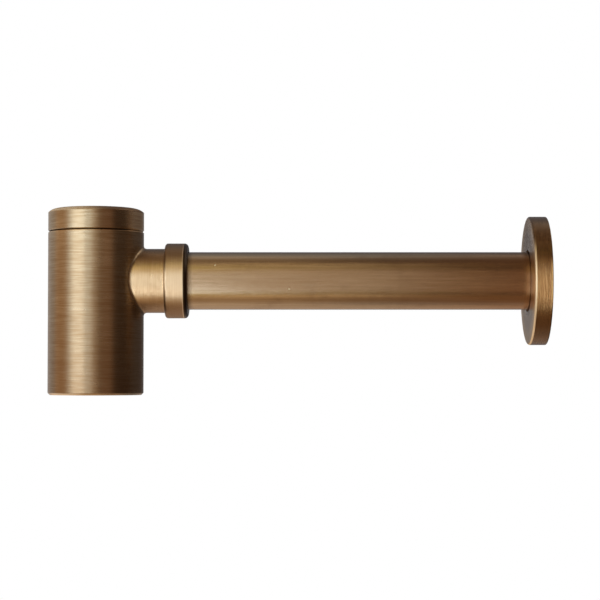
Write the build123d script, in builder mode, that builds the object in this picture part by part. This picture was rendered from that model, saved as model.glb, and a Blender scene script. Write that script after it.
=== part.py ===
from build123d import *
import os

# Round basin bottle trap with its wall pipe and wall flange, in millimetres
# The origin lies on the bottle's axis where the inlet thread begins
# +Z points up out of the inlet, +X runs along the pipe to the wall

# Clearances shared by the fits
thread_clearance = 0.08
turning_clearance = 0.3
seal_clearance = 0.1

# Bottle
bottle_diameter = 53.0
bottle_wall = 2.0
bottle_height = 90.5
bottle_top_chamfer = 0.6
bottle_base_chamfer = 1.2
top_plate_thickness = 4.0
boss_wall = 3.5
boss_depth = 5.0

# Union nut that hangs the bottle on the basin waste, flush with it and bored for a 1 1/4 inch pipe thread
union_nut_height = 12.4
union_nut_crown_height = 2.0
union_nut_crown_bulge = 0.35
union_nut_shoulder_round = 0.4
union_nut_lower_chamfer = 0.5
union_nut_seam = 0.35
union_nut_wall = 5.545
inlet_thread_depth = 1.48
inlet_mouth_chamfer = 1.5
inlet_relief = 0.5
union_nut_lip_thickness = 1.9

# Flat washer and dip tube in the inlet
inlet_washer_thickness = 2.0
inlet_washer_width = 4.8
inlet_washer_headroom = 0.3
dip_flange_thickness = 1.4
dip_flange_width = 2.275
dip_neck_step = 1.9
dip_tube_wall = 1.2
dip_tube_edge_round = 0.4
dip_ring_section = 1.6
dip_ring_above_boss_end = 1.2

# Clean-out plug in the base
base_rim_width = 4.5
plug_head_overhang = 2.5
plug_head_thickness = 2.0
plug_head_gap = 0.2
plug_head_chamfer = 0.4
plug_thread_depth = 0.35
plug_thread_length = 3.6
plug_undercut = 0.15
plug_floor = 3.6
plug_wall = 3.0
plug_slot_width = 3.2
plug_slot_length = 26.0
plug_slot_depth = 1.4
plug_ring_section = 1.8
plug_ring_headroom = 0.3
base_lip_above_plug = 0.4
sump_depth = 11.55

# Outlet spigot on the side of the bottle
outlet_drop = 27.2
spigot_length = 13.0
spigot_step = 0.2
spigot_edge_round = 0.4
spigot_saddle_round = 1.8
spigot_thread_wall = 1.3
spigot_thread_depth = 0.35
spigot_thread_length = 5.5
spigot_mouth_chamfer = 0.6
pipe_stop_wall = 1.0

# Wall pipe
pipe_diameter = 32.0
pipe_wall = 1.0
pipe_length = 216.3
pipe_stop_gap = 5.5
pipe_edge_chamfer = 0.25

# Outlet nut with its slip washer and rubber gasket
outlet_nut_wall = 3.12
outlet_nut_gap = 0.3
outlet_nut_lap = 0.8
outlet_nut_front_round = 1.6
outlet_nut_rear_round = 2.0
outlet_nut_end_wall = 2.4
gasket_length = 2.8
slip_washer_thickness = 1.0

# Wall flange, a turned cup open at the wall, with a rubber grip ring in its collar
flange_diameter = 71.3
flange_depth = 9.9
flange_wall = 1.5
flange_front_round = 1.2
flange_rear_round = 0.5
flange_setback = 0.5
flange_hole_clearance = 1.2
flange_collar_wall = 2.4
flange_collar_depth = 6.0
grip_ring_section = 2.1
grip_groove_depth_in_collar = 2.3

# Levels down the bottle's axis
union_nut_top = inlet_mouth_chamfer
union_nut_shoulder = union_nut_top - union_nut_crown_height
union_nut_bottom = union_nut_top - union_nut_height
lip_top = union_nut_bottom + union_nut_lip_thickness
dip_flange_bottom = lip_top + seal_clearance
dip_flange_top = dip_flange_bottom + dip_flange_thickness
inlet_washer_top = dip_flange_top + inlet_washer_thickness
inlet_thread_end = inlet_washer_top + inlet_washer_headroom
bottle_top = union_nut_bottom - union_nut_seam
plate_bottom = bottle_top - top_plate_thickness
boss_bottom = plate_bottom - boss_depth
bottle_base = bottle_top - bottle_height
outlet_level = bottle_top - outlet_drop

# Radii about the bottle's axis
bottle_radius = bottle_diameter / 2
chamber_radius = bottle_radius - bottle_wall
inlet_thread_radius = bottle_radius - union_nut_wall
relief_radius = inlet_thread_radius + inlet_relief
inlet_mouth_radius = inlet_thread_radius + inlet_mouth_chamfer
inlet_crest_radius = inlet_thread_radius - inlet_thread_depth
dip_flange_radius = inlet_crest_radius - turning_clearance
dip_neck_radius = dip_flange_radius - dip_flange_width
dip_tube_radius = dip_neck_radius - dip_neck_step
dip_bore_radius = dip_tube_radius - dip_tube_wall
dip_ring_radius = dip_neck_radius - dip_ring_section / 2
dip_groove_radius = dip_neck_radius - dip_ring_section - seal_clearance
plate_bore_radius = dip_neck_radius + seal_clearance
boss_radius = plate_bore_radius + boss_wall
lip_radius = dip_neck_radius + turning_clearance
inlet_washer_radius = inlet_crest_radius - seal_clearance

# Clean-out levels and radii
plug_head_top = bottle_base + plug_head_thickness
plug_seat = plug_head_top + plug_head_gap
plug_ring_level = plug_head_top + seal_clearance + plug_ring_section / 2
plug_ring_chamber_top = plug_ring_level + plug_ring_section / 2 + plug_ring_headroom
plug_top = plug_ring_chamber_top + plug_thread_length
base_top = plug_top + base_lip_above_plug
dip_tube_end = base_top + sump_depth
plug_head_radius = bottle_radius - base_rim_width
plug_thread_radius = plug_head_radius - plug_head_overhang
plug_root_radius = plug_thread_radius - plug_thread_depth
plug_neck_radius = plug_root_radius - plug_undercut
plug_ring_radius = plug_neck_radius + seal_clearance + plug_ring_section / 2
plug_ring_chamber_radius = plug_ring_radius + plug_ring_section / 2 + seal_clearance
plug_seat_radius = plug_head_radius + turning_clearance
plug_bore_radius = plug_thread_radius + thread_clearance

# Stations along the outlet's axis
spigot_shoulder = bottle_radius + spigot_length
spigot_end = spigot_shoulder + spigot_thread_length
pipe_stop = bottle_radius + pipe_stop_wall
pipe_start = pipe_stop + pipe_stop_gap
pipe_end = pipe_start + pipe_length
gasket_tip = spigot_end - spigot_mouth_chamfer + 2 * seal_clearance
gasket_end = spigot_end + gasket_length
slip_washer_start = gasket_end + seal_clearance
slip_washer_end = slip_washer_start + slip_washer_thickness
nut_start = spigot_shoulder - outlet_nut_lap
nut_thread_start = spigot_shoulder + outlet_nut_gap
nut_seat = slip_washer_end + seal_clearance
nut_end = nut_seat + outlet_nut_end_wall
flange_rear = pipe_end + flange_setback
flange_front = flange_rear - flange_depth
flange_collar_end = flange_front + flange_collar_depth
grip_ring_station = flange_front + grip_groove_depth_in_collar + grip_ring_section / 2

# Radii about the outlet's axis
pipe_radius = pipe_diameter / 2
pipe_bore_radius = pipe_radius - pipe_wall
socket_radius = pipe_radius + turning_clearance
spigot_thread_radius = socket_radius + spigot_thread_wall
spigot_root_radius = spigot_thread_radius - spigot_thread_depth
spigot_radius = spigot_thread_radius + spigot_step
nut_bore_radius = spigot_thread_radius + thread_clearance
nut_radius = nut_bore_radius + outlet_nut_wall
nut_lap_radius = spigot_radius + turning_clearance
nut_pipe_hole_radius = pipe_radius + turning_clearance
gasket_bore_radius = pipe_radius + seal_clearance
gasket_radius = nut_bore_radius - turning_clearance
slip_washer_radius = nut_bore_radius - seal_clearance
flange_radius = flange_diameter / 2
flange_hole_radius = pipe_radius + flange_hole_clearance
flange_collar_radius = flange_hole_radius + flange_collar_wall
grip_ring_radius = pipe_radius + seal_clearance + grip_ring_section / 2
grip_groove_radius = grip_ring_radius + grip_ring_section / 2 + seal_clearance

outlet_axis = Axis((0, 0, outlet_level), (1, 0, 0))
outlet_side = Plane(origin=(0, 0, outlet_level), x_dir=(1, 0, 0), z_dir=(0, -1, 0))


def outlet_section(station):
    return Plane(origin=(station, 0, outlet_level), x_dir=(0, 1, 0), z_dir=(1, 0, 0))


def rims(builder, radius):
    circles = builder.edges().filter_by(GeomType.CIRCLE)
    return circles.filter_by(lambda edge: abs(edge.radius - radius) < 1e-6)


os.makedirs("parts", exist_ok=True)

# Trap body: the bottle and its outlet spigot, one brazed piece, its screwed end turned to the thread's root
with BuildPart() as trap_body:
    with BuildSketch(Plane.XY.offset(bottle_base)):
        Circle(bottle_radius)
    extrude(amount=bottle_height)
    with BuildSketch(outlet_section(0)):
        Circle(spigot_radius)
    extrude(amount=spigot_shoulder)
    saddle = trap_body.edges().filter_by(GeomType.BSPLINE)
    fillet(saddle, radius=spigot_saddle_round)
    chamfer(trap_body.edges().group_by(Axis.Z)[0], length=bottle_base_chamfer)
    chamfer(trap_body.edges().group_by(Axis.Z)[-1], length=bottle_top_chamfer)
    fillet(trap_body.edges().group_by(Axis.X)[-1], radius=spigot_edge_round)
    with BuildSketch(outlet_section(0)):
        Circle(spigot_root_radius)
    extrude(amount=spigot_end)
    # The chamber, with the dip tube's boss above it and the clean-out's stepped seat below it
    with BuildSketch(Plane.XZ):
        with BuildLine():
            Polyline(
                (0, bottle_top),
                (plate_bore_radius, bottle_top),
                (plate_bore_radius, boss_bottom),
                (boss_radius, boss_bottom),
                (boss_radius, plate_bottom),
                (chamber_radius, plate_bottom),
                (chamber_radius, base_top),
                (plug_bore_radius, base_top),
                (plug_bore_radius, plug_ring_chamber_top),
                (plug_ring_chamber_radius, plug_ring_chamber_top),
                (plug_ring_chamber_radius, plug_seat),
                (plug_seat_radius, plug_seat),
                (plug_seat_radius, bottle_base),
                (0, bottle_base),
                close=True,
            )
        make_face()
    revolve(axis=Axis.Z, mode=Mode.SUBTRACT)
    # The pipe's socket, its stop and the coned seat of the gasket
    with BuildSketch(outlet_side):
        with BuildLine():
            Polyline(
                (dip_tube_radius, 0),
                (dip_tube_radius, pipe_bore_radius),
                (pipe_stop, pipe_bore_radius),
                (pipe_stop, socket_radius),
                (spigot_end - spigot_mouth_chamfer, socket_radius),
                (spigot_end, socket_radius + spigot_mouth_chamfer),
                (spigot_end, 0),
                close=True,
            )
        make_face()
    revolve(axis=outlet_axis, mode=Mode.SUBTRACT)
trap_body.part.label = "trap_body"
export_step(trap_body.part, "parts/trap_body.step")

# Union nut: the plain ring with a domed crown above the seam, turning freely under the dip tube's flange
with BuildPart() as union_nut:
    with BuildSketch(Plane.XZ):
        with BuildLine():
            SagittaArc(
                (inlet_mouth_radius, union_nut_top),
                (bottle_radius, union_nut_shoulder),
                union_nut_crown_bulge,
            )
            Polyline(
                (inlet_mouth_radius, union_nut_top),
                (inlet_thread_radius, 0),
                (inlet_thread_radius, inlet_thread_end),
                (relief_radius, inlet_thread_end),
                (relief_radius, lip_top),
                (lip_radius, lip_top),
                (lip_radius, union_nut_bottom),
                (bottle_radius, union_nut_bottom),
                (bottle_radius, union_nut_shoulder),
            )
        make_face()
    revolve(axis=Axis.Z)
    fillet(rims(union_nut, bottle_radius).sort_by(Axis.Z)[-1], radius=union_nut_shoulder_round)
    chamfer(rims(union_nut, bottle_radius).sort_by(Axis.Z)[0], length=union_nut_lower_chamfer)
union_nut.part.label = "inlet_union_nut"
export_step(union_nut.part, "parts/inlet_union_nut.step")

# Flat rubber washer between the basin waste's tail and the dip tube's flange
with BuildPart() as inlet_washer:
    with BuildSketch(Plane.XY.offset(dip_flange_top)):
        Circle(inlet_washer_radius)
        Circle(inlet_washer_radius - inlet_washer_width, mode=Mode.SUBTRACT)
    extrude(amount=inlet_washer_thickness)
inlet_washer.part.label = "inlet_washer"
export_step(inlet_washer.part, "parts/inlet_washer.step")

# Dip tube: flange, screwed neck with a ring groove, and the tube that reaches below the outlet
with BuildPart() as dip_tube:
    groove_top = boss_bottom + dip_ring_above_boss_end + dip_ring_section + 2 * seal_clearance
    with BuildSketch(Plane.XZ):
        with BuildLine():
            Polyline(
                (dip_bore_radius, dip_flange_top),
                (dip_flange_radius, dip_flange_top),
                (dip_flange_radius, dip_flange_bottom),
                (dip_neck_radius, dip_flange_bottom),
                (dip_neck_radius, groove_top),
                (dip_groove_radius, groove_top),
                (dip_groove_radius, boss_bottom + dip_ring_above_boss_end),
                (dip_neck_radius, boss_bottom + dip_ring_above_boss_end),
                (dip_neck_radius, boss_bottom),
                (dip_tube_radius, boss_bottom),
                (dip_tube_radius, dip_tube_end),
                (dip_bore_radius, dip_tube_end),
                close=True,
            )
        make_face()
    revolve(axis=Axis.Z)
    fillet(dip_tube.edges().group_by(Axis.Z)[0], radius=dip_tube_edge_round)
dip_tube.part.label = "dip_tube"
export_step(dip_tube.part, "parts/dip_tube.step")

# Rubber ring that seals the dip tube's neck in the bottle's boss
with BuildPart() as dip_ring:
    ring_level = boss_bottom + dip_ring_above_boss_end + seal_clearance + dip_ring_section / 2
    with BuildSketch(Plane.XZ):
        with Locations((dip_ring_radius, ring_level)):
            Circle(dip_ring_section / 2)
    revolve(axis=Axis.Z)
dip_ring.part.label = "dip_tube_o_ring"
export_step(dip_ring.part, "parts/dip_tube_o_ring.step")

# Clean-out plug: a flush slotted head, an undercut for the ring and a hollow skirt turned to its thread's root
with BuildPart() as plug:
    with BuildSketch(Plane.XZ):
        with BuildLine():
            Polyline(
                (0, bottle_base),
                (plug_head_radius, bottle_base),
                (plug_head_radius, plug_head_top),
                (plug_neck_radius, plug_head_top),
                (plug_neck_radius, plug_ring_chamber_top),
                (plug_root_radius, plug_ring_chamber_top),
                (plug_root_radius, plug_top),
                (plug_root_radius - plug_wall, plug_top),
                (plug_root_radius - plug_wall, bottle_base + plug_floor),
                (0, bottle_base + plug_floor),
                close=True,
            )
        make_face()
    revolve(axis=Axis.Z)
    chamfer(plug.edges().group_by(Axis.Z)[0], length=plug_head_chamfer)
    with BuildSketch(Plane.XY.offset(bottle_base)):
        SlotOverall(plug_slot_length, plug_slot_width)
    extrude(amount=plug_slot_depth, mode=Mode.SUBTRACT)
plug.part.label = "clean_out_plug"
export_step(plug.part, "parts/clean_out_plug.step")

# Rubber ring under the clean-out plug's head
with BuildPart() as plug_ring:
    with BuildSketch(Plane.XZ):
        with Locations((plug_ring_radius, plug_ring_level)):
            Circle(plug_ring_section / 2)
    revolve(axis=Axis.Z)
plug_ring.part.label = "clean_out_o_ring"
export_step(plug_ring.part, "parts/clean_out_o_ring.step")

# Outlet nut: a plain round collar that laps the spigot's shoulder and closes round the pipe
with BuildPart() as outlet_nut:
    with BuildSketch(outlet_side):
        with BuildLine():
            Polyline(
                (nut_start, nut_lap_radius),
                (nut_start, nut_radius),
                (nut_end, nut_radius),
                (nut_end, nut_pipe_hole_radius),
                (nut_seat, nut_pipe_hole_radius),
                (nut_seat, nut_bore_radius),
                (nut_thread_start, nut_bore_radius),
                (nut_thread_start, nut_lap_radius),
                close=True,
            )
        make_face()
    revolve(axis=outlet_axis)
    fillet(rims(outlet_nut, nut_radius).sort_by(Axis.X)[0], radius=outlet_nut_front_round)
    fillet(rims(outlet_nut, nut_radius).sort_by(Axis.X)[-1], radius=outlet_nut_rear_round)
outlet_nut.part.label = "outlet_nut"
export_step(outlet_nut.part, "parts/outlet_nut.step")

# Rubber gasket whose cone seats in the spigot's mouth
with BuildPart() as gasket:
    with BuildSketch(outlet_side):
        with BuildLine():
            Polyline(
                (gasket_tip, gasket_bore_radius),
                (gasket_tip, socket_radius),
                (gasket_tip + gasket_radius - socket_radius, gasket_radius),
                (gasket_end, gasket_radius),
                (gasket_end, gasket_bore_radius),
                close=True,
            )
        make_face()
    revolve(axis=outlet_axis)
gasket.part.label = "outlet_gasket"
export_step(gasket.part, "parts/outlet_gasket.step")

# Plastic slip washer that keeps the turning nut from dragging the gasket
with BuildPart() as slip_washer:
    with BuildSketch(outlet_section(slip_washer_start)):
        Circle(slip_washer_radius)
        Circle(nut_pipe_hole_radius, mode=Mode.SUBTRACT)
    extrude(amount=slip_washer_thickness)
slip_washer.part.label = "friction_washer"
export_step(slip_washer.part, "parts/friction_washer.step")

# Wall pipe
with BuildPart() as wall_pipe:
    with BuildSketch(outlet_section(pipe_start)):
        Circle(pipe_radius)
        Circle(pipe_bore_radius, mode=Mode.SUBTRACT)
    extrude(amount=pipe_length)
    chamfer(rims(wall_pipe, pipe_radius), length=pipe_edge_chamfer)
wall_pipe.part.label = "wall_pipe"
export_step(wall_pipe.part, "parts/wall_pipe.step")

# Wall flange: front plate, rim and an inner collar grooved for the grip ring
with BuildPart() as flange:
    groove_start = grip_ring_station - grip_ring_section / 2 - seal_clearance
    groove_end = grip_ring_station + grip_ring_section / 2 + seal_clearance
    with BuildSketch(outlet_side):
        with BuildLine():
            Polyline(
                (flange_front, flange_hole_radius),
                (flange_front, flange_radius),
                (flange_rear, flange_radius),
                (flange_rear, flange_radius - flange_wall),
                (flange_front + flange_wall, flange_radius - flange_wall),
                (flange_front + flange_wall, flange_collar_radius),
                (flange_collar_end, flange_collar_radius),
                (flange_collar_end, flange_hole_radius),
                (groove_end, flange_hole_radius),
                (groove_end, grip_groove_radius),
                (groove_start, grip_groove_radius),
                (groove_start, flange_hole_radius),
                close=True,
            )
        make_face()
    revolve(axis=outlet_axis)
    fillet(rims(flange, flange_radius).sort_by(Axis.X)[0], radius=flange_front_round)
    fillet(rims(flange, flange_radius).sort_by(Axis.X)[-1], radius=flange_rear_round)
flange.part.label = "wall_flange"
export_step(flange.part, "parts/wall_flange.step")

# Rubber ring in the collar's groove that grips the pipe
with BuildPart() as grip_ring:
    with BuildSketch(outlet_side):
        with Locations((grip_ring_station, grip_ring_radius)):
            Circle(grip_ring_section / 2)
    revolve(axis=outlet_axis)
grip_ring.part.label = "flange_grip_ring"
export_step(grip_ring.part, "parts/flange_grip_ring.step")
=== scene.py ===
import math
import bpy
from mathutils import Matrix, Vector


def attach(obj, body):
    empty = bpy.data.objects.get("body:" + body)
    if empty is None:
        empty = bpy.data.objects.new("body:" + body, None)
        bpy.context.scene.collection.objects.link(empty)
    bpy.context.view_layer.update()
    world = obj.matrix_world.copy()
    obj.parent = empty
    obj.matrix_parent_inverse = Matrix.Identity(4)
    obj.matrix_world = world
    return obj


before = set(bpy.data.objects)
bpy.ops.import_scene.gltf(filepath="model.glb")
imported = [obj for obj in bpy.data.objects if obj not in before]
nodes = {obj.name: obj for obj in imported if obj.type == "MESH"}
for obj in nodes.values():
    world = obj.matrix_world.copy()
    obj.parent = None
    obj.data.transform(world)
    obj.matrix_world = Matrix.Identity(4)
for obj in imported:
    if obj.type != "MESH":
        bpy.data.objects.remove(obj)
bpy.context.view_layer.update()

mm = 0.001
outletLevel = -38.45 * mm  # height of the pipe's axis, under the mouth of the inlet thread
bottleRadius = 26.5 * mm
print("frame loaded,", len(nodes), "CAD nodes")


class Num:  # a socket that can stand in a sum
    def __init__(self, paint, socket):
        self.paint = paint
        self.socket = socket

    def maths(self, operation, first, second=0.0):
        return self.paint.add("ShaderNodeMath", {"operation": operation}, {0: first, 1: second})

    def __add__(self, other):
        return self.maths("ADD", self, other)

    def __radd__(self, other):
        return self.maths("ADD", other, self)

    def __sub__(self, other):
        return self.maths("SUBTRACT", self, other)

    def __rsub__(self, other):
        return self.maths("SUBTRACT", other, self)

    def __mul__(self, other):
        return self.maths("MULTIPLY", self, other)

    def __rmul__(self, other):
        return self.maths("MULTIPLY", other, self)

    def __truediv__(self, other):
        return self.maths("DIVIDE", self, other)

    def __pow__(self, other):
        return self.maths("POWER", self, other)

    def __abs__(self):
        return self.maths("ABSOLUTE", self)

    def step(self, low, high):  # soft 0 to 1 between two values
        sockets = {"Value": self, "From Min": low, "From Max": high}
        return self.paint.add("ShaderNodeMapRange", {"interpolation_type": "SMOOTHSTEP"}, sockets)

    def band(self, low, high, soft):  # 1 between two values, soft at both ends
        return self.step(low - soft, low + soft) * (1 - self.step(high - soft, high + soft))


class Paint:  # one node tree, of a material or the world
    def __init__(self, tree):
        self.tree = tree
        self.tree.nodes.clear()

    def add(self, kind, settings=None, sockets=None, output=0):
        node = self.tree.nodes.new(kind)
        for key, value in (settings or {}).items():
            setattr(node, key, value)
        for key, value in (sockets or {}).items():
            self.put(node.inputs[key], value)
        self.last = node
        return Num(self, node.outputs[output]) if node.outputs else None

    def put(self, socket, value):  # a link, or a plain value
        if isinstance(value, Num):
            self.tree.links.new(value.socket, socket)
        else:
            socket.default_value = value

    def split(self, kind, outputs, sockets=None):  # several outputs of one new node
        self.add(kind, sockets=sockets)
        return [Num(self, self.last.outputs[key]) for key in outputs]

    def place(self):  # the surface point in the shared frame, as three numbers
        point = self.add("ShaderNodeTexCoord", output="Object")
        return self.split("ShaderNodeSeparateXYZ", range(3), {0: point})

    def vector(self, x, y, z):
        return self.add("ShaderNodeCombineXYZ", sockets={0: x, 1: y, 2: z})

    def noise(self, where, scale=1.0, detail=2.0, rough=0.5):
        return self.add("ShaderNodeTexNoise", sockets={
            "Vector": where, "Scale": scale, "Detail": detail, "Roughness": rough})

    def mix(self, share, first, second):
        tones = {"Factor": share, 6: tone(first), 7: tone(second)}
        return self.add("ShaderNodeMix", {"data_type": "RGBA"}, tones, output=2)

    def bump(self, height, strength, distance):
        return self.add("ShaderNodeBump", sockets={
            "Height": height, "Strength": strength, "Distance": distance})


def tone(value):
    return value if isinstance(value, Num) else (*value, 1)


def dim(colour, share):
    return tuple(part * share for part in colour)


def newMaterial(name, **fixed):
    material = bpy.data.materials.new(name)
    material.use_nodes = True
    paint = Paint(material.node_tree)
    shader = paint.add("ShaderNodeBsdfPrincipled", sockets=fixed)
    paint.shader = paint.last
    paint.add("ShaderNodeOutputMaterial", sockets={"Surface": shader})
    paint.material = material
    return paint


def feed(paint, **inputs):  # inputs of the shader, with _ for a space
    for name, value in inputs.items():
        paint.put(paint.shader.inputs[name.replace("_", " ")], value)


# brushed antique brass: what the finishes of all four outer pieces share
brassFinish = {
    "worn": (0.66, 0.52, 0.34),  # bare metal on the tops of the brush lines
    "aged": (0.48, 0.33, 0.18),  # antique brown between them
    "deep": (0.21, 0.11, 0.05),  # patina that collects in patches, also mixed in as painted shade
    "buffed": 1.0,  # brightness of all three, raised on the spigot, collar, flange and edges as a painted highlight
    "contrast": 0.25,  # half width of the noise values between aged and worn
    "roughness": 0.25,
    "coat": 0.2,
    "coatRoughness": 0.25,
    "lineDepth": 0.000018,
    "fine": 4200.0,  # lines per metre across the brushing
    "length": 60.0,  # and along it
    # hair lines, brush lines and soft bands: shares of both counts, and the noise's detail
    "lines": ((1.0, 1.0, 2), (0.3, 0.7, 3), (0.08, 0.4, 2)),
    "lineWeights": (0.4, 0.4, 0.2),
    "lineRoughness": 0.08,  # the brown lines are rougher
    "patch": 38.0,  # patina patches per metre
    "patchDetail": (4, 0.6),  # detail and roughness of their noise
    "patchTint": {"span": (0.48, 0.80), "share": 0.4},  # noise values where a patch begins and is full
    "patchRoughness": {"span": (0.45, 0.75), "share": 0.04},
    "litShare": 0.36,  # share of the radius left lit, above and below
    "shadeSoft": 0.6,  # and over which share the painted shade comes in
    "litLevel": 0.0,  # height of the middle of that lit stretch over the pipe's axis
    "shadeShare": 0.85,  # strength of the painted shade beyond it
}
ringWise = (False, True, True)  # which of the three coordinates run along the brush lines
pipeWise = (True, False, False)


def ringCoords(paint, axis):  # for brush lines that run round the bottle (z) or round the pipe's axis (x)
    x, y, z = paint.place()
    if axis == "x":
        z = z - outletLevel
        radius = (y * y + z * z) ** 0.5
        return x + radius, y, z, radius
    radius = (x * x + y * y) ** 0.5
    return z + radius, x, y, radius


def streaks(paint, place, brushed, **changes):  # long thin noise: hair lines, brush lines and soft bands
    look = {**paint.look, **changes}
    layers = []
    for crossShare, alongShare, detail in look["lines"]:
        cross, along = look["fine"] * crossShare, look["length"] * alongShare
        where = [part * (along if runs else cross) for part, runs in zip(place, brushed)]
        layers.append(paint.noise(paint.vector(*where), detail=detail))
    hair, brush, soft = layers
    hairWeight, brushWeight, softWeight = look["lineWeights"]
    return hair * hairWeight + brush * brushWeight + soft * softWeight, hair, brush


def brushedBrass(name, finish):
    paint = newMaterial(name, Metallic=1.0)
    look = paint.look = {**brassFinish, **finish}
    detail, rough = look["patchDetail"]
    paint.patch = paint.noise(paint.vector(*paint.place()), look["patch"], detail, rough)
    feed(paint, Coat_Weight=look["coat"], Coat_Roughness=look["coatRoughness"])
    return paint


def brassTint(paint, line, **changes):
    look = {**paint.look, **changes}
    worn, aged, deep = [dim(look[key], look["buffed"]) for key in ("worn", "aged", "deep")]
    tint = paint.mix(line.step(0.5 - look["contrast"], 0.5 + look["contrast"]), aged, worn)
    patch = look["patchTint"]
    return paint.mix(paint.patch.step(*patch["span"]) * patch["share"], tint, deep)


def shadeTopAndBottom(paint, tint, z, radius, where=1.0):  # painted shade along the top and the bottom
    look = paint.look
    height = abs(z - look["litLevel"]) / radius
    aged = height.step(look["litShare"], look["litShare"] + look["shadeSoft"])
    return paint.mix(aged * where * look["shadeShare"], tint, look["deep"])


def finishBrass(paint, tint, line, height, scuffed=0.0):
    look = paint.look
    patch = look["patchRoughness"]
    rough = look["roughness"] + scuffed + (0.5 - line) * look["lineRoughness"]
    rough = rough + paint.patch.step(*patch["span"]) * patch["share"]
    feed(paint, Base_Color=tint, Roughness=rough, Normal=paint.bump(height, 1.0, look["lineDepth"]))


# bottle, union nut and plug, brushed round the bottle's axis, and the spigot, brushed round its own
bottleFinish = {
    "buffed": 0.74,
    "roughness": 0.28,
    "length": 100.0,
    "contrast": 0.125,
    "lineDepth": 0.00002,
    "brushHeight": 0.8,  # relief of the brush lines against the hair lines
    "litLevel": -1.6 * mm,
    "darkerDown": 5.2,  # share of the deep tint mixed in per metre down the bottle, darker towards the bottom
    "crown": (-0.9 * mm, -0.3 * mm),  # top edge of the union nut
    "shoulder": (-12.0 * mm, -11.2 * mm),  # top edge of the bottle
    "base": (-101.2 * mm, -100.4 * mm),  # and its bottom edge
    "edgeSoft": 0.1 * mm,
    "rubbedAndLit": {"share": 0.9, "buffed": 1.3},
    "seam": {"heights": (-11.4 * mm, -10.75 * mm), "share": 0.65, "dim": 0.2},
    "nut": (-11.9 * mm, -11.5 * mm),  # the union nut stands above
    "nutBrown": {"along": (4.0 * mm, 17.0 * mm), "soft": 4.0 * mm, "share": 0.45},
    "nutHighlight": {"along": (17.0 * mm, 22.0 * mm), "buffed": 1.5},
    "crownDull": {"heights": (-1.1 * mm, -0.7 * mm), "along": (0.0, 12.0 * mm), "share": 0.8},
    "crownPale": {"along": (-7.0 * mm, 2.0 * mm), "share": 0.6, "rougher": 0.3},
    "spigotFrom": (bottleRadius + 0.6 * mm, bottleRadius + 1.6 * mm),
    "spigot": {"fine": 7000.0, "buffed": 1.4, "contrast": 0.4, "hairHeight": 3.8},
}


def bottleBrass():
    paint = brushedBrass("bottleBrass", bottleFinish)
    look, deep = paint.look, paint.look["deep"]
    across, x, y, radius = ringCoords(paint, "z")
    line, hair, brush = streaks(paint, (across, x, y), ringWise)
    z = paint.place()[2]
    tint = paint.mix(z * -look["darkerDown"], brassTint(paint, line), deep)

    crown = z.step(*look["crown"])
    rubbedAndLit = crown + z.band(*look["shoulder"], look["edgeSoft"]) + (1 - z.step(*look["base"]))
    bright = brassTint(paint, line, buffed=look["rubbedAndLit"]["buffed"])
    tint = paint.mix(rubbedAndLit * look["rubbedAndLit"]["share"], tint, bright)  # edges painted bright: a painted highlight on the crown, shoulder and base edges, partly rubbed wear
    seam = look["seam"]
    inSeam = z.band(*seam["heights"], look["edgeSoft"]) * seam["share"]
    tint = paint.mix(inSeam, tint, dim(deep, seam["dim"]))  # painted shade: a black line under the nut

    onNut = z.step(*look["nut"])
    brown, nutLit, dull = look["nutBrown"], look["nutHighlight"], look["crownDull"]
    inBrown = x.band(*brown["along"], brown["soft"]) * brown["share"]
    tint = paint.mix(onNut * inBrown, tint, deep)  # painted shade on a stretch of the nut beside it
    bright = brassTint(paint, line, buffed=nutLit["buffed"])
    tint = paint.mix(onNut * x.step(*nutLit["along"]), tint, bright)  # painted highlight on the nut towards the pipe's side
    dullCrown = z.step(*dull["heights"]) * x.step(*dull["along"]) * dull["share"]
    tint = paint.mix(dullCrown, tint, deep)  # painted shade on the top edge, on the pipe's side

    spigot = look["spigot"]
    across, yPipe, zPipe, radiusPipe = ringCoords(paint, "x")
    spigotLine, spigotHair = streaks(paint, (across, yPipe, zPipe), ringWise, fine=spigot["fine"])[:2]
    # the spigot's brighter tint is a painted highlight
    spigotTint = brassTint(paint, spigotLine, buffed=spigot["buffed"], contrast=spigot["contrast"])
    onSpigot = radius.step(*look["spigotFrom"])
    # painted shade along the spigot's top and bottom
    tint = paint.mix(onSpigot, tint, shadeTopAndBottom(paint, spigotTint, zPipe, radiusPipe))
    line = line + (spigotLine - line) * onSpigot
    height = hair + brush * look["brushHeight"]
    height = height + (spigotHair * spigot["hairHeight"] - height) * onSpigot

    pale = look["crownPale"]
    finishBrass(paint, tint, line, height, crown * pale["rougher"])
    awayFromPipe = 1 - x.step(*pale["along"])
    feed(paint, Metallic=1 - crown * awayFromPipe * pale["share"])  # pale and matt on the other side
    return paint


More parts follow.
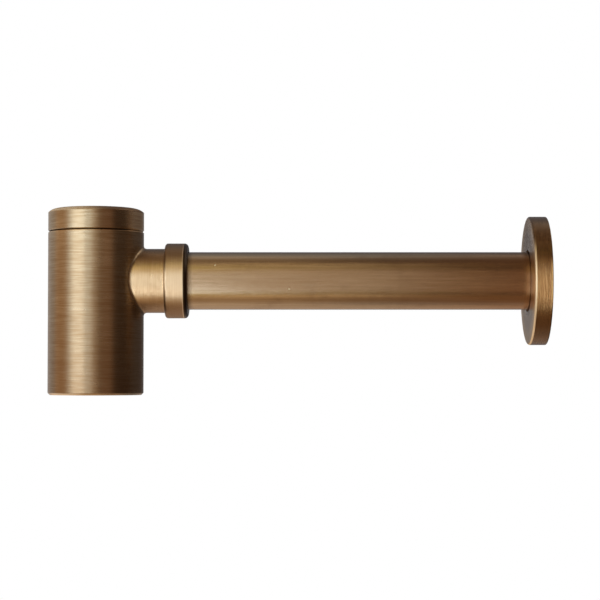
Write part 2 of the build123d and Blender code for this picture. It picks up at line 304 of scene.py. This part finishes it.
# collar and flange, both brushed round the pipe's axis
turnedFinish = {
    "brushHeight": 0.15,
    "rimShade": (0.8 * mm, 0.4 * mm),  # how far inside the rim its painted shade begins and is full
    "besidePipe": (24 * mm, 33 * mm),  # radii between which the painted shadow beside the pipe fades
    "edgesFrom": (19 * mm, 19.6 * mm),  # edges get a painted highlight, partly rubbed wear, outside this radius
    "edgeSoft": 0.2 * mm,
    "edgeFade": 5 * mm,  # at the ends of such an edge
    "edgeRougher": 0.25,
    "recess": {"along": (49.35 * mm, 60 * mm), "soft": 0.3 * mm, "share": 0.95, "dim": 0.12},
}
collarFinish = {
    **turnedFinish,
    "worn": (0.66, 0.54, 0.375),
    "aged": (0.49, 0.35, 0.205),
    # raised as a painted highlight on the collar
    "buffed": 1.5,
    "contrast": 0.4,
    "roughness": 0.34,
    "lineDepth": 0.000065,
    "fine": 7000.0,
    "litShare": 0.26,
    "litLevel": -0.6 * mm,
    "rim": 20.2 * mm,  # outer radius
    "front": {"along": (39.4 * mm, 40.6 * mm), "share": 0.55, "besidePipe": 0.0},
    "edges": [  # place along the pipe, heights over its axis
        {"along": (48.9 * mm, 49.2 * mm), "heights": (-40 * mm, 19 * mm), "tint": (0.92, 0.75, 0.52)},
    ],
}
flangeFinish = {
    **turnedFinish,
    "worn": (0.72, 0.47, 0.22),
    "aged": (0.52, 0.32, 0.14),
    "deep": (0.16, 0.08, 0.036),
    "buffed": 1.1,
    "contrast": 0.15,
    "lineDepth": 0.00013,
    "patch": 45.0,
    "litShare": 0.08,
    "shadeSoft": 0.42,
    "litLevel": -4.5 * mm,
    "rim": 35.5 * mm,
    "front": {"along": (239.95 * mm, 240.2 * mm), "share": 0.3, "besidePipe": 0.55},
    "edges": [
        {"along": (240.0 * mm, 241.0 * mm), "heights": (-40 * mm, 19 * mm), "tint": (0.95, 0.76, 0.5)},
        {"along": (248.6 * mm, 251.0 * mm), "heights": (-14 * mm, 8 * mm), "tint": (0.95, 0.66, 0.3)},
    ],
}


def turnedBrass(name, finish):
    paint = brushedBrass(name, finish)
    look, deep = paint.look, paint.look["deep"]
    across, y, z, radius = ringCoords(paint, "x")
    line, hair, brush = streaks(paint, (across, y, z), ringWise)
    x = paint.place()[0]
    onRim = radius.step(*[look["rim"] - inset for inset in look["rimShade"]])
    # painted shade along the rim's top and bottom
    tint = shadeTopAndBottom(paint, brassTint(paint, line), z, radius, onRim)

    front = look["front"]
    share = front["share"] + (1 - radius.step(*look["besidePipe"])) * front["besidePipe"]
    tint = paint.mix((1 - x.step(*front["along"])) * share, tint, deep)  # painted shade on the front: the collar's end and the flange's face beside the pipe

    outside = radius.step(*look["edgesFrom"])
    scuffed = 0.0
    for edge in look["edges"]:  # painted highlight on the edges, partly rubbed wear
        onEdge = x.band(*edge["along"], look["edgeSoft"]) * z.band(*edge["heights"], look["edgeFade"])
        rubbedAndLit = onEdge * outside
        tint = paint.mix(rubbedAndLit, tint, edge["tint"])
        scuffed = rubbedAndLit * look["edgeRougher"] + scuffed
    recess = look["recess"]
    inRecess = x.band(*recess["along"], recess["soft"]) * recess["share"]
    tint = paint.mix(inRecess, tint, dim(deep, recess["dim"]))  # painted shade, near black, in the corner beside the pipe
    finishBrass(paint, tint, line, hair + brush * look["brushHeight"], scuffed)
    return paint


# wall pipe, brushed along its length
pipeFinish = {
    "worn": (0.66, 0.55, 0.40),
    "aged": (0.49, 0.36, 0.22),
    "roughness": 0.17,
    "lineDepth": 0.00004,
    "fine": 3600.0,
    "length": 40.0,
    "lines": ((1.0, 1.0, 2), (0.3, 0.6, 3), (0.08, 0.3, 2)),
    "contrast": 0.36,
    "brushHeight": 0.2,
    "brown": {"along": (60 * mm, 230 * mm), "share": 0.38},  # painted shade, darker towards the wall
    "red": {"along": (150 * mm, 245 * mm), "share": 0.6, "span": (0.3, 0.7)},  # and a redder tint, a painted reflection of the flange
    "redDark": (0.36, 0.17, 0.07),
    "redLight": (0.50, 0.26, 0.12),
    "top": {"heights": (13.5 * mm, 15.8 * mm), "share": 0.55},
    "corner": {"from": (48.0 * mm, 50.0 * mm), "to": (50.5 * mm, 55.0 * mm), "share": 0.9, "dim": 0.2},
    "specks": ((66.8 * mm, -13.8 * mm, -30.4 * mm), (107.4 * mm, -15.15 * mm, -43.6 * mm)),
    "speckRadius": (0.25 * mm, 0.6 * mm),
    "speckTint": (0.62, 0.50, 0.28),
}


def pipeBrass():
    paint = brushedBrass("pipeBrass", pipeFinish)
    look, deep = paint.look, paint.look["deep"]
    x, y, z = paint.place()
    line, hair, brush = streaks(paint, (x, y, z), pipeWise)
    brown, red, top, corner = look["brown"], look["red"], look["top"], look["corner"]
    # painted shade, darker towards the wall
    tint = paint.mix(x.step(*brown["along"]) * brown["share"], brassTint(paint, line), deep)
    # a redder tint near the wall, a painted reflection of the flange
    reddish = paint.mix(line.step(*red["span"]), look["redDark"], look["redLight"])
    tint = paint.mix(x.step(*red["along"]) * red["share"], tint, reddish)
    onTop = (z - outletLevel).step(*top["heights"]) * top["share"]
    tint = paint.mix(onTop, tint, deep)  # painted shade along the top
    inCorner = x.step(*corner["from"]) * (1 - x.step(*corner["to"])) * corner["share"]
    tint = paint.mix(inCorner, tint, dim(deep, corner["dim"]))  # painted shade, near black, beside the collar
    clean = 1.0
    for spotX, spotY, spotZ in look["specks"]:  # two pale specks
        away = ((x - spotX) ** 2 + (y - spotY) ** 2 + (z - spotZ) ** 2) ** 0.5
        clean = clean * away.step(*look["speckRadius"])
    tint = paint.mix(clean, look["speckTint"], tint)
    finishBrass(paint, tint, line, hair + brush * look["brushHeight"])
    feed(paint, Metallic=clean)
    return paint


# plain turned brass, of the dip tube and the threads
innerFinish = {
    "dull": (0.55, 0.39, 0.16),
    "bright": (0.74, 0.56, 0.27),
    "span": (0.3, 0.7),
    "fine": 2200,  # turning marks per metre
    "length": 30,
    "stain": {"tint": (0.33, 0.22, 0.10), "scale": 60, "span": (0.5, 0.8), "share": 0.5},
    "roughness": 0.30,
    "stainRoughness": 0.15,
    "bump": 0.5,
    "depth": 0.00002,
}


def innerBrass(look):
    paint = newMaterial("innerBrass", Metallic=1.0)
    across, x, y = ringCoords(paint, "z")[:3]
    marks = paint.vector(across * look["fine"], x * look["length"], y * look["length"])
    turned = paint.noise(marks, detail=2)
    spots = look["stain"]
    stain = paint.noise(paint.vector(x, y, across), scale=spots["scale"], detail=4)
    tint = paint.mix(turned.step(*look["span"]), look["dull"], look["bright"])
    tint = paint.mix(stain.step(*spots["span"]) * spots["share"], tint, spots["tint"])
    rough = look["roughness"] + stain * look["stainRoughness"]
    feed(paint, Base_Color=tint, Roughness=rough, Normal=paint.bump(turned, look["bump"], look["depth"]))
    return paint


# washers and rings
rubberFinish = {
    "dark": (0.012, 0.012, 0.013),
    "pale": (0.035, 0.035, 0.036),  # bloom on old rubber
    "span": (0.4, 0.8),
    "cloud": 120,  # clouds of the pale tint per metre
    "grain": 2500,
    "roughness": 0.55,
    "grainRoughness": 0.2,
    "bump": 0.3,
    "depth": 0.00005,
}
nylonFinish = {
    "dark": (0.72, 0.69, 0.61),
    "pale": (0.82, 0.80, 0.74),
    "span": (0.3, 0.7),
    "cloud": 900,
    "grain": 900,
    "roughness": 0.42,
    "grainRoughness": 0.12,
    "bump": 0.2,
    "depth": 0.00004,
}


def moulded(name, look):
    paint = newMaterial(name, Metallic=0.0)
    where = paint.vector(*paint.place())
    grain = paint.noise(where, look["grain"], detail=3)
    cloud = paint.noise(where, look["cloud"], detail=3)
    tint = paint.mix(cloud.step(*look["span"]), look["dark"], look["pale"])
    rough = look["roughness"] + grain * look["grainRoughness"]
    feed(paint, Base_Color=tint, Roughness=rough, Normal=paint.bump(grain, look["bump"], look["depth"]))
    return paint


bottle = bottleBrass()
collar = turnedBrass("collarBrass", collarFinish)
pipe = pipeBrass()
flange = turnedBrass("flangeBrass", flangeFinish)
inner = innerBrass(innerFinish)
rubber = moulded("blackRubber", rubberFinish)
nylon = moulded("whiteNylon", nylonFinish)
finishes = {
    "trap_body": bottle,
    "inlet_union_nut": bottle,
    "clean_out_plug": bottle,
    "outlet_nut": collar,
    "wall_pipe": pipe,
    "wall_flange": flange,
    "dip_tube": inner,
    "inlet_washer": rubber,
    "dip_tube_o_ring": rubber,
    "clean_out_o_ring": rubber,
    "outlet_gasket": rubber,
    "flange_grip_ring": rubber,
    "friction_washer": nylon,
}
for nodeName, paint in finishes.items():
    slots = nodes[nodeName].data.materials
    slots.clear()
    slots.append(paint.material)
print("finishes on all CAD nodes")

# screw threads: one V ridge swept round and up by the screw modifier, sunk a hair into the plain cylinder
ridgeForm = {"foot": 0.92, "tip": 0.16, "sink": 0.03 * mm, "steps": 72}  # widths as shares of the pitch
inletThread = {
    "axis": "z",
    "root": 20.955 * mm,
    "crest": 19.475 * mm,  # smaller than the root, so it points inwards
    "pitch": 2.309 * mm,
    "start": -5.2 * mm,
    "end": 0.0,
}
spigotThread = {
    "axis": "x",
    "root": 17.25 * mm,
    "crest": 17.6 * mm,
    "pitch": 1.5 * mm,
    "start": 39.6 * mm,
    "end": 44.6 * mm,
}
plugThread = {
    "axis": "z",
    "root": 19.15 * mm,
    "crest": 19.5 * mm,
    "pitch": 1.5 * mm,
    "start": -97.5 * mm,
    "end": -94.0 * mm,
}


def threadRidge(name, size, body, paint):
    bpy.ops.object.select_all(action="DESELECT")
    bpy.ops.mesh.primitive_circle_add(
        vertices=4, radius=1, fill_type="NOTHING", rotation=(math.pi / 2, 0, 0))
    ridge = bpy.context.object
    ridge.name = name
    bpy.ops.object.transform_apply(location=False, rotation=True, scale=False)
    inward = size["crest"] < size["root"]
    sunk = size["root"] + (ridgeForm["sink"] if inward else -ridgeForm["sink"])
    half = size["pitch"] / 2
    foot, tip = half * ridgeForm["foot"], half * ridgeForm["tip"]
    corners = [(sunk, -foot), (size["crest"], -tip), (size["crest"], tip), (sunk, foot)]
    for vertex, (radius, height) in zip(ridge.data.vertices, corners):
        vertex.co = (radius, 0, size["start"] + half + height)
    turns = int((size["end"] - size["start"]) / size["pitch"]) - 1
    screw = ridge.modifiers.new("screw", "SCREW")
    screw.axis = "Z"
    screw.angle = math.tau
    screw.screw_offset = size["pitch"]
    screw.iterations = max(turns, 1)
    screw.steps = screw.render_steps = ridgeForm["steps"]
    screw.use_smooth_shade = False
    bpy.ops.object.modifier_apply(modifier="screw")
    bpy.ops.object.mode_set(mode="EDIT")
    bpy.ops.mesh.select_all(action="SELECT")
    bpy.ops.mesh.fill_holes(sides=0)
    bpy.ops.mesh.select_all(action="SELECT")
    bpy.ops.mesh.normals_make_consistent(inside=False)
    if size["axis"] == "x":  # laid along the pipe
        bpy.ops.transform.rotate(value=-math.pi / 2, orient_axis="Y", center_override=(0, 0, 0))
        bpy.ops.transform.translate(value=(0, 0, outletLevel))
    bpy.ops.object.mode_set(mode="OBJECT")
    ridge.data.materials.append(paint.material)
    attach(ridge, body)


threadRidge("inletThread", inletThread, "inlet_nut", inner)
threadRidge("spigotThread", spigotThread, "trap", inner)
threadRidge("plugThread", plugThread, "plug", inner)
print("threads cut")

# camera of the photograph
shot = {"place": (0.1134, -1.0513, -0.0879), "tilt": 2.116, "lens": 113.56, "sensor": 36.0}
cameraData = bpy.data.cameras.new("photoCamera")
cameraData.lens = shot["lens"]
cameraData.sensor_width = shot["sensor"]
camera = bpy.data.objects.new("photoCamera", cameraData)
camera.location = shot["place"]
camera.rotation_euler = (math.radians(90 + shot["tilt"]), 0, 0)
bpy.context.scene.collection.objects.link(camera)
bpy.context.scene.camera = camera

# soft boxes round the object: azimuth from the camera's side (left is minus) and elevation,
# width and height, all in degrees, then the brightness
aim = Vector((0.11, 0.0, -0.04))
lampDistance = 1.5
lamps = {
    "keyWide": {"from": (-45, 0), "size": (42, 40), "level": 1.22, "tint": (0.86, 0.94, 1)},
    "keyCore": {"from": (-40, 0), "size": (32, 44), "level": 1.35, "tint": (0.86, 0.94, 1)},
    "upperKey": {"from": (-29, 37), "size": (22, 30), "level": 0.62, "tint": (1, 0.86, 0.4)},
    "lowerKey": {"from": (-29, -38), "size": (22, 32), "level": 1.5, "tint": (1, 0.98, 0.95)},
    "tallKey": {"from": (-15, -12), "size": (14, 80), "level": 0.96, "tint": (0.74, 0.94, 1.25)},
    "tallSoft": {"from": (-15, 0), "size": (14, 124), "level": 0.44, "tint": (1, 0.88, 0.4)},
    "frontFill": {"from": (-2, 0), "size": (18, 84), "level": 0.11, "tint": (1, 0.9, 1.2)},
    "frontTall": {"from": (-1, 0), "size": (20, 144), "level": 0.38, "tint": (1, 0.75, 0.42)},
    "rightFill": {"from": (28, -5), "size": (30, 92), "level": 0.24, "tint": (1, 0.62, 0.4)},
    "leftFill": {"from": (-86, 0), "size": (40, 50), "level": 0.54, "tint": (1, 0.66, 0.38)},
    "topFill": {"from": (-90, 76), "size": (50, 30), "level": 0.12, "tint": (1, 0.72, 0.4)},
    "topWide": {"from": (0, 85), "size": (60, 50), "level": 0.08, "tint": (1, 0.7, 0.45)},
    "lowFill": {"from": (-90, -76), "size": (50, 30), "level": 0.15, "tint": (1, 0.72, 0.42)},
    "lowWide": {"from": (0, -85), "size": (60, 50), "level": 0.2, "tint": (1, 0.62, 0.34)},
    "lowBack": {"from": (-160, -45), "size": (60, 50), "level": 0.36, "tint": (1, 0.66, 0.38)},
    "baseGlint": {"from": (-115, -50), "size": (50, 40), "level": 0.36, "tint": (1, 1, 1)},
    "crownLight": {"from": (-155, 63), "size": (50, 30), "level": 0.08, "tint": (1, 0.95, 0.86)},
    "backRight": {"from": (118, 46), "size": (44, 40), "level": 0.36, "tint": (1, 0.93, 0.85)},
    "sideRight": {"from": (88, 42), "size": (40, 34), "level": 0.55, "tint": (1, 0.93, 0.85)},
    "backFill": {"from": (-132, 0), "size": (50, 60), "level": 0.34, "tint": (1, 0.92, 0.85)},
}


def addLamp(name, lamp):
    turn, lift = [math.radians(angle) for angle in lamp["from"]]
    way = Vector((math.sin(turn) * math.cos(lift), -math.cos(turn) * math.cos(lift), math.sin(lift)))
    wide, high = [2 * lampDistance * math.tan(math.radians(angle / 2)) for angle in lamp["size"]]
    data = bpy.data.lights.new(name, "AREA")
    data.shape = "RECTANGLE"
    data.size = wide
    data.size_y = high
    data.energy = math.pi * wide * high * lamp["level"]
    data.color = lamp["tint"]
    light = bpy.data.objects.new(name, data)
    light.location = aim + way * lampDistance
    light.rotation_euler = (-way).to_track_quat("-Z", "Y").to_euler()
    light.visible_camera = False
    bpy.context.scene.collection.objects.link(light)


for lampName, lamp in lamps.items():
    addLamp(lampName, lamp)

# white sweep for the camera and for what mirrors it, a grey room for the rest
room = {
    "fill": (0.30, 0.29, 0.28),  # light on matt surfaces
    "dark": (0.065, 0.04, 0.027),  # what the metal mirrors in front
    "mirrored": (0.175, 0.17, 0.178),  # and behind
    "backdrop": (1.0, 1.0, 1.0),
    "behind": (0.0, 0.3),
    "rightSide": {"span": (0.25, 0.6), "share": 0.7},
    "sweep": (0.995, 0.999),
}
world = bpy.data.worlds.new("studio")
bpy.context.scene.world = world
world.use_nodes = True
sky = Paint(world.node_tree)
rayKinds = ("Is Camera Ray", "Is Glossy Ray", "Is Transmission Ray")
isCamera, isGlossy, isTransmission = sky.split("ShaderNodeLightPath", rayKinds)
way = sky.add("ShaderNodeTexCoord", output="Generated")
side, back = sky.split("ShaderNodeSeparateXYZ", range(2), {0: way})
rightDark = side.step(*room["rightSide"]["span"]) * room["rightSide"]["share"]
behind = back.step(*room["behind"]) * (1 - rightDark)  # the right side stays dark
mirrored = sky.mix(behind, room["dark"], room["mirrored"])
sweep = back.step(*room["sweep"])  # the white sweep stands straight behind
mirrored = sky.mix(sweep, mirrored, room["backdrop"])
skyTint = sky.mix(isGlossy, room["fill"], mirrored)
skyTint = sky.mix(isCamera + isTransmission, skyTint, room["backdrop"])
skyLight = sky.add("ShaderNodeBackground", sockets={"Color": skyTint, "Strength": 1.0})
sky.add("ShaderNodeOutputWorld", sockets={"Surface": skyLight})

# pale floor well under the trap, white to the camera where nothing shades it
floorLook = {"place": (0.11, 0, -1.3), "size": 8.0, "tint": (0.82, 0.81, 0.80), "glow": 0.85}
bpy.ops.object.select_all(action="DESELECT")
bpy.ops.mesh.primitive_plane_add(size=floorLook["size"], location=floorLook["place"])
floor = bpy.context.object
floor.name = "studioFloor"
floor.visible_glossy = False  # the brass mirrors a dark room, not the floor
floor.visible_shadow = False  # the low lamps shine up through it
bpy.ops.object.transform_apply()
paleFloor = bpy.data.materials.new("paleFloor")
paleFloor.use_nodes = True
ground = Paint(paleFloor.node_tree)
seen = ground.add("ShaderNodeLightPath", output="Is Camera Ray")
matt = ground.add("ShaderNodeBsdfDiffuse", sockets={"Color": tone(floorLook["tint"])})
glowSockets = {"Color": (1, 1, 1, 1), "Strength": seen * floorLook["glow"]}
glow = ground.add("ShaderNodeEmission", sockets=glowSockets)
both = ground.add("ShaderNodeAddShader", sockets={0: matt, 1: glow})
ground.add("ShaderNodeOutputMaterial", sockets={"Surface": both})
floor.data.materials.append(paleFloor)

bpy.context.scene.view_settings.view_transform = "Standard"
print("camera, lamps and floor set")
